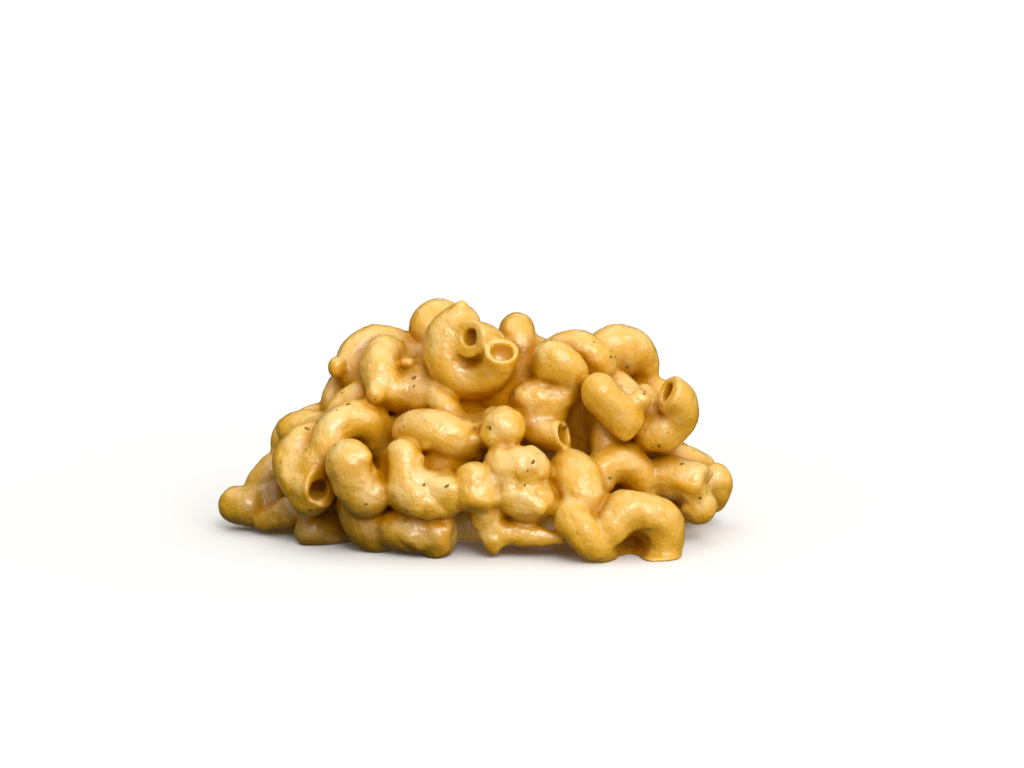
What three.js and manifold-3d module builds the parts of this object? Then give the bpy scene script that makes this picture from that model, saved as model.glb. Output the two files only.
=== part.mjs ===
// A heap of corkscrew macaroni in cheese sauce, as it lies on a flat surface.
// Millimetres, +Z up, the front of the heap faces -Y. It rests on z = 0, and the middle of its box
// stands over the origin. The sauce fuses the macaroni, so the heap is one solid: a core of packed
// macaroni and sauce, with each piece that shows wound onto its own corkscrew and joined to it.
import * as THREE from "three";
import { mergeVertices } from "three/addons/utils/BufferGeometryUtils.js";
import Module from "manifold-3d";

// One piece of macaroni, coated with sauce.
const COIL_RADIUS = 5.2; // from the corkscrew's axis to the middle of its tube
const TUBE_RADIUS = 4.2;
const BORE_SHARE = 0.5; // of the tube's radius
const MOUTH_DEPTH = 3; // how deep an open end is hollow; sauce fills the rest of the bore
const LEAN_SHARE = 0.4; // of the length, over which an end leans out of its corkscrew
const STEEP_RISE = 0.85; // of an axis so upright that its angles are measured from the front
const DOME_RING = [0.75, 0.66]; // of a domed end's radius: out from the axis, and beyond the wall

// How finely the tubes are faceted, in front and round the back.
const FRONT_FACETS = { sides: 7, stepsPerTurn: 7 };
const BACK_FACETS = { sides: 6, stepsPerTurn: 6 };
const FEWEST_STEPS = 2;
const STRAIGHT_STEPS = 1;
const WELD = 1e-4;

// From the frame in which the macaroni is laid out to the middle of the finished heap.
const CENTRING = [-0.02, 0.69, 0];

const CHEESE = { color: 0xe9b759, roughness: 0.4, metalness: 0 };

// The macaroni that shows from the front and at the sides:
// [start of the axis, end of the axis, angle at the start in degrees, turns, what differs].
// The angle is measured round the axis from straight up, as a right-handed screw turns. A piece with
// no turns and no coil is straight.
const FRONT_MACARONI = {
  crest_back: [[-9.5, 14, 49.5], [-9, 6, 50.2], -60, 0.6, { coil: 3 }],
  saddle_back: [[-24, 9, 39.5], [-13, 9, 40.5], -90, 0.8, {}],
  top_right: [[9, 10, 37], [26, 8, 38], -40, 1, {}],
  top_middle: [[-8, 5, 37], [5, 10, 37.5], 100, 1, {}],
  right_flank: [[43, 9, 28], [42, -5, 27.5], -30, 0.9, {}],
  peak: [[7.5, 2, 45.5], [13.5, 0, 45], -70, 0.5, { tube: 3.8 }],
  left_top_back: [[-26, 9, 41.2], [-27, 1, 41.5], -20, 0.55, { coil: 5 }],
  left_low_back: [[-29.5, 8, 32], [-30.5, 0, 32.5], 30, 0.35, {}],
  left_low: [[-27, -5, 28.5], [-28, -10.5, 28.7], 0, 0.35, { coil: 6 }],
  inner_left: [[-18, 4, 36], [-10, -4, 37], -30, 0.6, {}],
  left_top: [[-24.5, -1, 40.5], [-17, -8, 41], -60, 0.75, { coil: 4.7, tube: 4.6 }],
  crest_mouth: [[-1.6, -18.5, 45.4], [-0.5, 1, 43], 0, 0.5, { tube: 4.7, open: "start", bore: 0.42 }],
  crest_ring: [[-1.5, -4, 47], [-1, -16, 46], 22, 0.715,
    { coil: 6.6, tube: 5, tip: 4.8, open: "end", lean: [1, -5.5, 1.6], bore: 0.6, deep: 1 }],
  right_arch: [[36, 12, 40.5], [35.5, 0, 41], -150, 0.6, { coil: 5.2, tube: 5 }],
  right_double: [[18, -15, 42], [26.5, -4, 43], 20, 1.2, { coil: 4.6, tube: 4.6 }],
  column_back: [[13, -8, 34], [14, -17, 34], 0, 0.8, {}],
  column: [[17, -8, 32.5], [18, -22, 33], -20, 0.64, { open: "end", lean: [1.5, 0, 0] }],
  right_mouth: [[46.4, -11, 32.6], [45.8, -20, 34.4], 110, 0.66,
    { coil: 4, tube: 4.8, open: "end", bore: 0.55 }],
  mouth_low: [[43.4, -16, 25.5], [45.8, -16.5, 25.8], 0, 0, { coil: 0, tube: 4.8 }],
  right_head: [[30.2, -21.5, 37.8], [36.6, -20, 30.2], 0, 0, { coil: 0, tube: 5.1 }],
  column_top: [[12.5, -16.5, 37], [21.5, -16.5, 37], 0, 0, { coil: 0, tube: 3.6 }],
  under_crest: [[-11, -10, 30.5], [1, -12, 31], -30, 0.7, {}],
  left_arch: [[-29.5, -10, 24], [-30, -20, 26], -80, 0.56, { coil: 5.5, tube: 4.8 }],
  centre_mid: [[-11, -20, 25], [-5.5, -18, 30.5], -20, 0.55, { tube: 5.6 }],
  knob: [[3, -14, 27.5], [6.8, -24.5, 29.8], 0, 0, { coil: 0, tube: 5.6 }],
  shoulder_back: [[-43.5, 6, 21.5], [-43.5, 4, 22], 75, 0.12, { tube: 3.4 }],
  shoulder: [[-40, 6, 21], [-39.6, -22.5, 20.2], 0, 1.6,
    { open: "end", tube: 4.6, tip: 4.7, lean: [-0.4, -4, 0], bore: 0.3, deep: 4 }],
  left_tip: [[-60, -1, 6], [-54, -4, 4.6], 0, 0, { coil: 0, tube: 4.6 }],
  left_slope: [[-44, 6, 6], [-43.5, -2, 8], 0, 0.3, { coil: 7 }],
  left_tongue: [[-53, -8, 4.6], [-45, -11, 6.5], 0, 0, { coil: 0, tube: 3.2 }],
  left_floor: [[-40, -14, 8], [-30, -15, 7.5], 150, 0.2, {}],
  left_foot: [[-31, -19, 8], [-21.5, -21, 7.5], -30, 0.62, { coil: 4.4, tube: 5.4 }],
  left_front: [[-28.8, -28.5, 23.2], [-26.4, -30.5, 15.4], 60, 0.35, { coil: 1.6, tube: 5.8 }],
  floor_mid: [[-18.2, -28, 6.6], [-4.4, -31, 5.2], 0, 0, { coil: 0, tube: 5.1, blunt: "end" }],
  centre_left: [[-16.6, -27.5, 23.4], [-15.4, -31, 15.2], 0, 0, { coil: 0, tube: 4.5 }],
  centre_front: [[-11.6, -25, 16.8], [-11.2, -33, 17.8], -60, 0.9, { coil: 3.9, tube: 4.4 }],
  lobe_top: [[5.6, -30, 21.4], [13.6, -30, 21.6], 0, 0, { coil: 0, tube: 5.3 }],
  lobe_low: [[9.6, -30.5, 14.8], [14.2, -31, 13.9], 0, 0, { coil: 0, tube: 5.4 }],
  stub: [[1, -29, 20.5], [0.1, -36, 12.8], 0, 0, { coil: 0, tube: 4.9, blunt: "end" }],
  drip_back: [[7.5, -19.5, 3], [21, -19.5, 3], 0, 0, { coil: 0, tube: 3.6 }],
  drip: [[3.6, -26, 10.5], [4.8, -29, 2.6], 0, 0, { coil: 0, tube: 3.4, tip: 1.2 }],
  drip_strand: [[5.5, -28, 6.8], [20.5, -31, 5], 0, 0, { coil: 0, tube: 2.6, tip: 1.7 }],
  right_mid_arch: [[34.5, -12, 14], [34.5, -22, 15], -95, 0.56, { coil: 5.3, tube: 5.1 }],
  right_tip: [[55.8, 3, 9.8], [55.8, -1, 10.8], -120, 0.16, { coil: 5, tube: 3.7 }],
  right_back: [[51.5, 8, 11], [50.5, -6, 12.5], -90, 0.7, {}],
  right_end: [[46.5, -15.5, 14.4], [56, -17.5, 14.6], 0, 0, { coil: 0, tube: 4.6, blunt: "end" }],
  thick_fall: [[22.5, -24, 15], [33.5, -26, 13], 0, 0.6, { tube: 5.8, coil: 4.6 }],
  front_wave: [[22, -32.5, 6.5], [36, -32.5, 8.5], 20, 0.95, { coil: 4, tube: 4.8 }],
  wave_end: [[38.8, -34.5, 5.6], [39, -28.5, 5.6], -60, 0.47, { coil: 7, tube: 4.8 }],
};

// Sauce and broken macaroni that fill the spaces between the pieces: [centre, half sizes].
const FILLINGS = {
  crest_root: [[-9, 8, 43], [6, 6, 5]],
  shoulder_top: [[-44.3, -6, 27], [5, 6, 5]],
  left_nub: [[-34.6, 1, 41], [2.3, 3, 2.7]],
  arch_deep: [[35.3, 4, 42], [5, 5, 6]],
  double_head: [[19, -15, 44], [5.8, 6, 4.9]],
  front_low: [[-10.7, -33.5, 12.4], [5, 3.6, 3.3]],
  end_fill: [[55.2, -15.5, 9.2], [4.6, 5, 5]],
  cave_back: [[39, -26.5, 3.5], [7, 4, 5]],
};
const FILLING_SEGMENTS = [6, 4];

// The back of the heap: rows of macaroni round it, each piece turned at random within its place.
const BACK_SEED = 11;
const BACK_ROWS = [
  { height: 10, halfWidth: 49, halfDepth: 30, firstAngle: 2, lastAngle: 173, pieces: 8 },
  { height: 23, halfWidth: 37, halfDepth: 25, firstAngle: 14, lastAngle: 166, pieces: 6 },
  { height: 35, halfWidth: 24, halfDepth: 17, firstAngle: 30, lastAngle: 150, pieces: 4 },
];
const BACK_LENGTH = 20; // along the axis
const BACK_TURNS = 1.15;
const BACK_TILT = 35; // degrees, the most that an axis leaves its row

// The core of the heap: packed macaroni and sauce, as overlapping mounds [centre, half sizes].
const MOUNDS = [
  [[0, 6, 8], [45, 23, 33]],
  [[4, 1, 30], [30, 16, 16]],
  [[33, -4, 22], [14, 15, 17]],
  [[-35, 6, 6], [15, 13, 16]],
  [[40, 6, 6], [15, 14, 13]],
];
const MOUND_SEGMENTS = [14, 8];

const wasm = await Module();
wasm.setup();

// Random numbers from 0 to 1 that are the same on every run.
function seededRandom(seed) {
  const [factor, step, modulus] = [9301, 49297, 233280];
  let state = seed;
  return () => {
    state = (state * factor + step) % modulus;
    return state / modulus;
  };
}

// The middle line of one piece: a right-handed corkscrew from start to end.
class Corkscrew extends THREE.Curve {
  constructor(start, end, phase, turns, { coil = COIL_RADIUS, lean = [0, 0, 0] }) {
    super();
    this.start = new THREE.Vector3(...start);
    this.run = new THREE.Vector3(...end).sub(this.start);
    const axis = this.run.clone().normalize();
    const steep = Math.abs(axis.z) > STEEP_RISE;
    const up = steep ? new THREE.Vector3(0, -1, 0) : new THREE.Vector3(0, 0, 1);
    this.upward = up.addScaledVector(axis, -up.dot(axis)).normalize();
    this.sideways = new THREE.Vector3().crossVectors(axis, this.upward);
    this.phase = THREE.MathUtils.degToRad(phase);
    this.sweep = 2 * Math.PI * turns;
    this.coil = coil;
    this.lean = new THREE.Vector3(...lean);
    this.span = Math.hypot(this.run.length(), this.sweep * coil);
  }

  outward(t) {
    const angle = this.phase + this.sweep * t;
    return this.upward.clone().multiplyScalar(Math.cos(angle))
      .addScaledVector(this.sideways, Math.sin(angle));
  }

  getPoint(t, target = new THREE.Vector3()) {
    const leaning = Math.max(0, (t - 1 + LEAN_SHARE) / LEAN_SHARE) ** 2;
    return target.copy(this.start).addScaledVector(this.run, t)
      .addScaledVector(this.outward(t), this.coil).addScaledVector(this.lean, leaning);
  }
}

// One end of a tube's outline, up to its wall: hollow where it is open, flat where it is cut, or domed.
function endOutline(end, radius, { open, blunt, bore = BORE_SHARE, deep = MOUTH_DEPTH }) {
  if (open === end) return [[0, deep], [bore * radius, deep], [bore * radius, 0]];
  if (blunt === end) return [[0, 0]];
  const [outward, beyond] = DOME_RING;
  return [[0, -radius], [outward * radius, -beyond * radius]];
}

// Half the outline of a straight tube, for the lathe. It may narrow or widen towards the tip.
function tubeOutline(length, radius, tip, steps, different) {
  const wall = Array.from({ length: steps + 1 }, (_, i) => {
    const share = i / steps;
    return [radius + (tip - radius) * share ** 2, length * share];
  });
  const foot = endOutline("start", radius, different);
  const head = endOutline("end", tip, different).map(([x, y]) => [x, length - y]).reverse();
  return [...foot, ...wall, ...head].map(([x, y]) => new THREE.Vector2(x, y));
}

// Winds a straight tube, which stands on y = 0, onto its corkscrew.
function windOnto(curve, geometry) {
  const position = geometry.attributes.position;
  for (let i = 0; i < position.count; i++) {
    const height = position.getY(i);
    const t = THREE.MathUtils.clamp(height / curve.span, 0, 1);
    const tangent = curve.getTangent(t);
    const outward = curve.outward(t);
    outward.addScaledVector(tangent, -outward.dot(tangent)).normalize();
    const across = new THREE.Vector3().crossVectors(outward, tangent);
    const point = curve.getPoint(t).addScaledVector(tangent, height - t * curve.span)
      .addScaledVector(outward, position.getX(i)).addScaledVector(across, position.getZ(i));
    position.setXYZ(i, point.x, point.y, point.z);
  }
  return geometry;
}

// A closed three.js geometry as a solid. Faces that welding has folded to a line are left out.
function solidFrom(geometry) {
  geometry.deleteAttribute("normal");
  geometry.deleteAttribute("uv");
  const welded = mergeVertices(geometry, WELD);
  const corners = welded.index.array;
  const faces = [];
  for (let i = 0; i < corners.length; i += 3) {
    const [a, b, c] = corners.slice(i, i + 3);
    if (a !== b && b !== c && c !== a) faces.push(a, b, c);
  }
  const vertProperties = new Float32Array(welded.attributes.position.array);
  return new wasm.Manifold(new wasm.Mesh({ numProp: 3, vertProperties, triVerts: new Uint32Array(faces) }));
}

// By how much a tube of flat sides is widened, so that its section keeps the area of a round one.
function facetGrowth(sides) {
  const step = (2 * Math.PI) / sides;
  return Math.sqrt(step / Math.sin(step));
}

function macaroni([start, end, phase, turns, different], { sides, stepsPerTurn }) {
  const { tube = TUBE_RADIUS, tip = tube } = different;
  const curve = new Corkscrew(start, end, phase, turns, different);
  const steps = turns > 0 ? Math.max(FEWEST_STEPS, Math.round(turns * stepsPerTurn)) : STRAIGHT_STEPS;
  const growth = facetGrowth(sides);
  const outline = tubeOutline(curve.span, tube * growth, tip * growth, steps, different);
  const straight = new THREE.LatheGeometry(outline, sides);
  return solidFrom(windOnto(curve, straight));
}

// The rows of macaroni round the back, in the same form as the front's.
function backMacaroni() {
  const random = seededRandom(BACK_SEED);
  const either = () => 2 * random() - 1;
  const pieces = [];
  for (const row of BACK_ROWS) {
    for (let i = 0; i < row.pieces; i++) {
      const place = row.firstAngle + ((row.lastAngle - row.firstAngle) * i) / (row.pieces - 1);
      const angle = THREE.MathUtils.degToRad(place);
      const middle = new THREE.Vector3(
        row.halfWidth * Math.cos(angle), row.halfDepth * Math.sin(angle), row.height);
      const tilt = THREE.MathUtils.degToRad(BACK_TILT * either());
      const along = new THREE.Vector3(
        -Math.sin(angle) * Math.cos(tilt), Math.cos(angle) * Math.cos(tilt), Math.sin(tilt));
      const start = middle.clone().addScaledVector(along, -BACK_LENGTH / 2);
      const end = middle.clone().addScaledVector(along, BACK_LENGTH / 2);
      pieces.push([start.toArray(), end.toArray(), 360 * random(), BACK_TURNS, {}]);
    }
  }
  return pieces;
}

function mound([centre, halfSizes], segments = MOUND_SEGMENTS) {
  const ball = new THREE.SphereGeometry(1, ...segments);
  ball.scale(...halfSizes).translate(...centre);
  return solidFrom(ball);
}

// What lies under the floor is cut off flat.
function belowFloor() {
  const [width, depth, height] = [300, 300, 60];
  return solidFrom(new THREE.BoxGeometry(width, depth, height).translate(0, 0, -height / 2));
}

function heapGeometry() {
  const pieces = [
    ...MOUNDS.map((place) => mound(place)),
    ...Object.values(FILLINGS).map((place) => mound(place, FILLING_SEGMENTS)),
    ...Object.values(FRONT_MACARONI).map((place) => macaroni(place, FRONT_FACETS)),
    ...backMacaroni().map((place) => macaroni(place, BACK_FACETS)),
  ];
  const fused = pieces.reduce((heap, piece) => heap.add(piece)).subtract(belowFloor());
  const [heap] = fused.decompose().sort((a, b) => b.volume() - a.volume());
  const { vertProperties, triVerts } = heap.getMesh();
  const geometry = new THREE.BufferGeometry();
  geometry.setAttribute("position", new THREE.BufferAttribute(vertProperties, 3));
  geometry.setIndex(new THREE.BufferAttribute(triVerts, 1));
  geometry.translate(...CENTRING);
  return geometry;
}

const heap = new THREE.Mesh(heapGeometry(), new THREE.MeshStandardMaterial(CHEESE));
heap.name = "macaroni_heap";

const group = new THREE.Group();
group.add(heap);
export default group;
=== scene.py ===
"""A heap of corkscrew macaroni in cheese sauce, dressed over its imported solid.

Every piece of macaroni is a tube round its own corkscrew. All of them are gathered in one field of
distances, where sauce bridges them and fills their creases, and the field becomes one mesh. Herbs and
crumbs then lie on that mesh. Lengths are millimetres until the meshes are made.
"""
import itertools
import math

import bpy
import numpy as np
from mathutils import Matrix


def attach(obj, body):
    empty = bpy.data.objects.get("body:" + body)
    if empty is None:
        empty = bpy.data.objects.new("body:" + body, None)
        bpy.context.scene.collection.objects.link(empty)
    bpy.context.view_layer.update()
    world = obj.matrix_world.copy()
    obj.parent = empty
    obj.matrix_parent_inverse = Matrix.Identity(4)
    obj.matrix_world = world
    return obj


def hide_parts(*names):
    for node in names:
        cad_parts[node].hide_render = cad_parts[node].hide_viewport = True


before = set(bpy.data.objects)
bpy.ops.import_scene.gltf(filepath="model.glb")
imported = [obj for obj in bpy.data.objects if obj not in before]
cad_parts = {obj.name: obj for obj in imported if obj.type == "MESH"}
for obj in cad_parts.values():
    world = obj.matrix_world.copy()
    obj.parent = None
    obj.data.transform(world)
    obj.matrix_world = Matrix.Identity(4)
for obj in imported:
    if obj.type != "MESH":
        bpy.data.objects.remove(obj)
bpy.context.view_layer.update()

import openvdb
from mathutils import Vector
from mathutils.bvhtree import BVHTree

MM = 0.001
TINY = 1e-6  # what counts as nothing
HEAP_NODE = "macaroni_heap"

# One piece of macaroni, coated with sauce.
COIL_RADIUS = 5.2  # from the corkscrew's axis to the middle of its tube
TUBE_RADIUS = 4.2
BORE_SHARE = 0.5  # of the tube's radius
BORE_DEPTH = 4.0
LEAN_SHARE = 0.4  # of the length, over which an end leans out of its corkscrew
STEEP_RISE = 0.85  # of an axis so upright that its angles are measured from the front
STEP_ALONG = 1.1  # from point to point of a tube's middle line
FEWEST_STEPS = 4

# From the frame in which the macaroni is laid out to the middle of the finished heap.
CENTRING = np.array([-0.02, 0.69, 0.0])

# The macaroni that shows from the front and at the sides, with the names it has in the solid:
# [start of the axis, end of the axis, angle at the start in degrees, turns, what differs].
# The angle is measured round the axis from straight up, as a right-handed screw turns. A piece with no
# turns and no coil is straight. What can differ: coil and tube are radii, tip is the tube's radius at
# its end, and lean moves that end aside. A mouth is an open end, where bore is the hollow share of the
# radius and deep says how far in it goes. A blunt end is cut off. Soft says over how far sauce joins
# the piece to the others.
FRONT_MACARONI = {
    "crest_back": [(-9.5, 14, 49.5), (-9, 6, 50.2), -60, 0.6, {"coil": 3}],
    "saddle_back": [(-24, 9, 39.5), (-13, 9, 40.5), -90, 0.8, {}],
    "top_right": [(9, 10, 37), (26, 8, 38), -40, 1.0, {}],
    "top_middle": [(-8, 5, 37), (5, 10, 37.5), 100, 1.0, {}],
    "right_flank": [(43, 9, 28), (42, -5, 27.5), -30, 0.9, {}],
    "peak": [(7.5, 2, 45.5), (13.5, 0, 45), -70, 0.5, {"tube": 4.0}],
    "left_top_back": [(-26, 9, 41.2), (-27, 1, 41.5), -20, 0.55, {"coil": 5}],
    "left_low_back": [(-29.5, 8, 32), (-30.5, 0, 32.5), 30, 0.35, {}],
    "left_low": [(-27, -5, 28.5), (-28, -10.5, 28.7), 0, 0.35, {"coil": 6}],
    "inner_left": [(-18, 4, 36), (-10, -4, 37), -30, 0.6, {}],
    "left_top": [(-24.5, -1, 40.5), (-17, -8, 41), -60, 0.75, {"coil": 4.7, "tube": 4.6}],
    "crest_mouth": [(-1.5, -16.8, 46.7), (-0.5, 1, 43.6), 0, 0.4,
                    {"coil": 4.6, "tube": 4.7, "mouth": "start", "bore": 0.45, "deep": 1.3}],
    "crest_ring": [(-1.5, -7, 47), (-1, -16.5, 46), 22, 0.715,
                   {"coil": 6.6, "tube": 5.0, "tip": 4.2, "mouth": "end", "lean": (1, -3.0, 1.6),
                    "bore": 0.62, "deep": 0.6}],
    "right_arch": [(36, 12, 40.5), (35.5, 0, 41), -150, 0.6, {"coil": 5.2, "tube": 5.0}],
    "right_double": [(18, -15, 42), (26.5, -4, 43), 20, 1.2, {"coil": 4.6, "tube": 4.6}],
    "column_back": [(13, -8, 34), (14, -17, 34), 0, 0.8, {}],
    "column": [(17, -8, 32.5), (18, -22, 33), -20, 0.64, {"mouth": "end", "lean": (1.5, 0, 0)}],
    "right_mouth": [(46.4, -11, 32.6), (45.8, -20, 34.4), 110, 0.66,
                    {"coil": 4, "tube": 4.8, "mouth": "end", "bore": 0.55, "deep": 3}],
    "mouth_low": [(43.4, -16, 27.4), (45.8, -16.5, 27.6), 0, 0, {"coil": 0, "tube": 4.8}],
    "right_head": [(30.2, -21.5, 38.4), (36.2, -20, 32), 0, 0, {"coil": 0, "tube": 4.9}],
    "column_top": [(12.5, -16.5, 37), (21.5, -16.5, 37), 0, 0, {"coil": 0, "tube": 3.6}],
    "under_crest": [(-11, -10, 30.5), (1, -12, 31), -30, 0.7, {}],
    "left_arch": [(-29.5, -10, 24), (-30, -20, 26), -80, 0.56, {"coil": 5.5, "tube": 4.8}],
    "centre_mid": [(-11, -20, 25), (-5.5, -18, 30.5), -20, 0.55, {"tube": 5.6}],
    "knob": [(3, -14, 27.5), (6.8, -24.5, 29.8), 0, 0, {"coil": 0, "tube": 5.6}],
    "shoulder_back": [(-43.5, 6, 21.5), (-43.5, 4, 22), 75, 0.12, {"tube": 3.4}],
    "shoulder": [(-40, 6, 21), (-39.6, -22.5, 20.2), 0, 1.6,
                 {"mouth": "end", "tube": 4.6, "tip": 4.7, "lean": (-0.4, -4, 0), "bore": 0.3}],
    "left_tip": [(-59.8, -1.5, 6.4), (-57, -3, 6.2), 0, 0, {"coil": 0, "tube": 4.6}],
    "left_slope": [(-44, 6, 6), (-43.5, -2, 8), 0, 0.3, {"coil": 7}],
    "left_tongue": [(-45, -10.5, 6.8), (-53.4, -7, 3.2), 0, 0,
                    {"coil": 0, "tube": 3.8, "tip": 2.0, "soft": 0.7}],
    "left_floor": [(-40, -14, 8), (-30, -15, 7.5), 150, 0.2, {}],
    "left_foot": [(-31, -19, 8), (-21.5, -21, 7.5), -30, 0.62, {"coil": 4.4, "tube": 5.4}],
    "left_front": [(-28.8, -28.5, 23.2), (-26.4, -30.5, 15.4), 60, 0.35, {"coil": 1.6, "tube": 5.8}],
    "floor_mid": [(-18.8, -27.5, 6.2), (-5.0, -30.5, 4.8), 0, 0, {"coil": 0, "tube": 4.9, "blunt": "end"}],
    "centre_left": [(-17, -27, 24), (-16.2, -30.5, 17), 0, 0, {"coil": 0, "tube": 4.7}],
    "centre_front": [(-16, -30.5, 16.2), (-6.6, -31, 15.6), 0, 0, {"coil": 0, "tube": 5.2}],
    "lobe_top": [(7, -28.5, 21.6), (13.6, -29.5, 21.8), 0, 0, {"coil": 0, "tube": 5.3}],
    "lobe_low": [(10.4, -30.5, 14.8), (14.4, -31, 13.9), 0, 0, {"coil": 0, "tube": 5.2}],
    "stub": [(-0.2, -31.5, 19.2), (0.8, -34.8, 12.2), 0, 0,
             {"coil": 0, "tube": 4.6, "blunt": "end", "soft": 0.8}],
    "drip_back": [(9, -21.5, 3.2), (21, -22, 3.2), 0, 0, {"coil": 0, "tube": 4.0}],
    "drip": [(2.6, -29, 12), (4.6, -31.2, 5.6), 0, 0, {"coil": 0, "tube": 4.7, "tip": 3.8}],
    "drip_strand": [(7.5, -30.6, 6.2), (20.5, -33.2, 4.9), 0, 0, {"coil": 0, "tube": 3.3, "tip": 1.8}],
    "right_mid_arch": [(34.8, -14, 14.6), (34.8, -23.5, 15.6), -95, 0.56, {"coil": 5.4, "tube": 5.0}],
    "right_tip": [(55.8, 3, 9.8), (55.8, -1, 10.8), -120, 0.16, {"coil": 5, "tube": 3.7}],
    "right_back": [(51.5, 8, 11), (50.5, -6, 12.5), -90, 0.7, {}],
    "right_end": [(47, -13.2, 16.6), (56.6, -17.3, 14.6), 0, 0, {"coil": 0, "tube": 5.4, "blunt": "end"}],
    "thick_fall": [(22.5, -24, 15), (33.5, -26, 13), 0, 0.6, {"tube": 5.8, "coil": 4.6}],
    "front_wave": [(24, -32.5, 6.2), (36.5, -32.5, 8), 20, 0.95, {"coil": 4, "tube": 4.8}],
    "wave_end": [(38.8, -34.5, 4.6), (39, -28.5, 4.6), -60, 0.47, {"coil": 7, "tube": 4.8}],
}

# Sauce and broken macaroni that fill the spaces between the pieces: [centre, half sizes].
FILLINGS = {
    "crest_root": [(-9, 8, 43), (6, 6, 5)],
    "shoulder_top": [(-42.6, -6, 26.8), (7.2, 6, 5)],
    "left_nub": [(-34.6, 1, 41), (2.3, 3, 2.7)],
    "arch_deep": [(35.3, 4, 42), (5, 5, 6)],
    "double_head": [(19, -15, 44), (5.8, 6, 4.9)],
    "front_low": [(-10.6, -32, 13.2), (6, 3.6, 3.2)],
    "end_fill": [(55.2, -15.5, 9.2), (4.6, 5, 5)],
    "cave_back": [(39, -26.5, 3.5), (7, 4, 5)],
    # These are too small, too thin or too deep in the heap for the solid.
    "drip_tip": [(4.8, -31.8, 3), (1.5, 1.5, 2.5)],
    "column_fill": [(15.6, -16.2, 34.8), (5.4, 4.6, 6.2)],
    "clump_back": [(-8.5, -24, 21.2), (6, 4, 3.8)],
    "drip_nub": [(-24.2, -13, 36.9), (2.2, 2.8, 2.5)],
    "inner_nub": [(-16.9, -7.6, 43.6), (1.7, 1.4, 1.2)],
    "crest_nub": [(-3.4, -9, 57.6), (1.0, 0.9, 1.5)],
    "crest_fill": [(-3.8, -10.5, 46), (4, 3.5, 3.4)],
    "peak_root": [(14.5, -1.5, 44), (6.5, 5, 4.6)],
    "shoulder_fill": [(-39, -18.5, 20), (5, 7, 5)],
    "shoulder_low": [(-40, -22, 11.5), (4.5, 5.5, 3.2)],
    "bean_fold": [(-20.4, -24.5, 19), (2.6, 3.2, 6.5)],
    "double_deep": [(27.5, -4, 43), (6, 6, 5.5)],
    "flake": [(39.3, -19.5, 36.3), (3.2, 2.6, 2)],
    "crumb": [(12.4, -20.5, 45.1), (1.5, 2.2, 2.5)],
    "puddle": [(43, -30.5, 0), (7.4, 6, 1.4)],
}

# Hollows that stay open between the pieces: [centre, half sizes].
GAPS = {
    "wave_cave": [(37.9, -35, 2.6), (3.9, 10, 3.4)],
    "arch_cave": [(34.6, -22, 13.6), (2.4, 7, 1.9)],
    "shoulder_hole": [(-38.3, -27, 15.4), (1.9, 7, 2.0)],
    "shade_gap": [(26, -17, 30), (2.2, 4.2, 4.4)],
}

# The rows of macaroni round the back, each piece turned at random within its place.
BACK_SEED = 11
BACK_ROWS = [
    {"height": 10, "half_width": 49, "half_depth": 30, "first": 2, "last": 173, "pieces": 8},
    {"height": 23, "half_width": 37, "half_depth": 25, "first": 14, "last": 166, "pieces": 6},
    {"height": 35, "half_width": 24, "half_depth": 17, "first": 30, "last": 150, "pieces": 4},
]
BACK_LENGTH = 20
BACK_TURNS = 1.15
BACK_TILT = 35

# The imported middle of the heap: [centre, half sizes, pieces of deep macaroni in it]. The deep macaroni
# shows between the rest.
MOUNDS = [
    [(0, 6, 8), (45, 23, 33), 40],
    [(4, 1, 30), (30, 16, 16), 22],
    [(33, -4, 22), (14, 15, 17), 10],
    [(-35, 6, 6), (15, 13, 16), 8],
    [(40, 6, 6), (15, 14, 13), 8],
]
MOUND_SINK = 4.0  # how far the core lies below the solid's
INNER_SINK = 8.0  # how far the axes of the deep macaroni lie below the solid's core
INNER_LENGTH = 14
INNER_TURNS = 0.9
INNER_SEED = 5

# The field of distances.
VOXEL = 0.4  # from place to place of its grid
FIELD_LOW = np.array([-68.0, -44.0, -1.2])
FIELD_HIGH = np.array([68.0, 44.0, 62.0])
BAND = 3.0  # how far from a surface its distances are kept
BORE_BAND = 1.0  # how far outside a tube the distances to its bore are kept
MESH_BAND = 1.2  # how far from the surface of the mesh distances are kept
OUT_OF_REACH = 2.0  # how much farther than its reach a tube counts as being
FAR = 9.0  # the distance where no surface is near
SLOPE_STEP = 0.5  # to either side of a place whose slope is measured
MOST_TRIANGLES = 195000  # in the mesh

# Over how far two surfaces run into each other, as sauce fills their crease, or round off an edge.
PIECE_SOFTNESS = 1.5
FILLING_SOFTNESS = 1.8
MOUND_SOFTNESS = 4.0
CURD_SOFTNESS = 1.2
MOUTH_ROUNDING = 0.9
BORE_ROUNDING = 0.8
BLUNT_ROUNDING = 3.0

# Where the sauce lies thick and rough: [centre, radius, strength].
THICK_SPOTS = {
    "centre_front": [(-12, -33, 16), 10, 1.0],
    "stub": [(0, -32, 17), 8, 0.9],
    "lobe": [(10, -32, 18), 11, 0.9],
    "drip": [(5, -31, 8), 7, 0.9],
    "floor_mid": [(-10, -31, 5), 9, 0.6],
    "left_front": [(-24, -30, 18), 9, 0.25],
    "shoulder": [(-43, -22, 16), 9, 0.25],
    "left_tongue": [(-49, -10, 6), 6, 0.5],
    "knob": [(4, -26, 30), 9, 0.4],
    "right_end": [(53, -18, 14), 8, 0.7],
    "wave_end": [(44, -37, 12), 6, 0.35],
    "right_mid": [(35, -26, 19), 6, 0.4],
    "right_head": [(40, -20, 36), 5, 0.5],
    "back_left": [(-28, 26, 14), 14, 0.6],
    "back_right": [(20, 28, 12), 14, 0.5],
    "top": [(8, 8, 42), 9, 0.5],
}

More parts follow.
